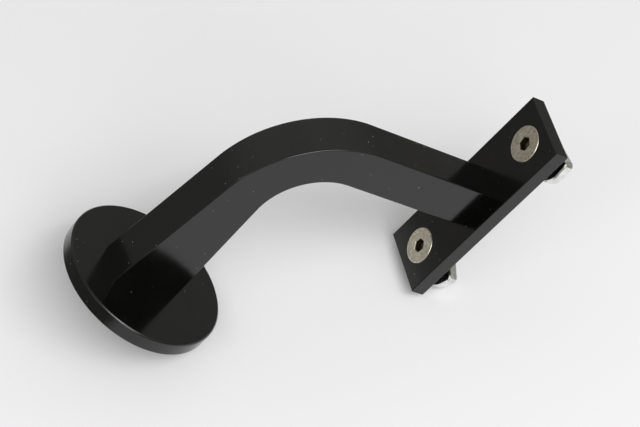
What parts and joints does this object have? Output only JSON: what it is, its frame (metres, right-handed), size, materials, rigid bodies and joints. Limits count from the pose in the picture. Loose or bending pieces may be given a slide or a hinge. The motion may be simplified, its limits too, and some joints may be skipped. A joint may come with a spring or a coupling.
{
  "type": "handrail bracket",
  "caption": "Wall bracket for a slotted handrail: round wall plate, tapered arm bent through a right angle, and a flat saddle plate with countersunk screws and slot nuts.",
  "frame": {"origin": "centre of the wall plate's back face", "axes": "+X out of the wall; +Z from the wall plate up to the saddle plate; Y across the arm"},
  "size_m": [0.1128, 0.0552, 0.1166],
  "materials": {
    "black_coating": "smooth satin-gloss black coating with a few fine dust specks",
    "stainless_screw": "satin stainless steel, slightly mottled",
    "zinc_nut": "bright zinc plating"
  },
  "bodies": {
    "root": {"wall_plate": "black_coating", "arm": "black_coating", "saddle_plate": "black_coating", "wall_plate_screw": "stainless_screw", "saddle_plate_screw_inner": "stainless_screw", "saddle_plate_screw_outer": "stainless_screw", "rail_screw_inner": "stainless_screw", "rail_screw_outer": "stainless_screw", "slot_nut_inner": "zinc_nut", "slot_nut_outer": "zinc_nut"}
  },
  "joints": []
}
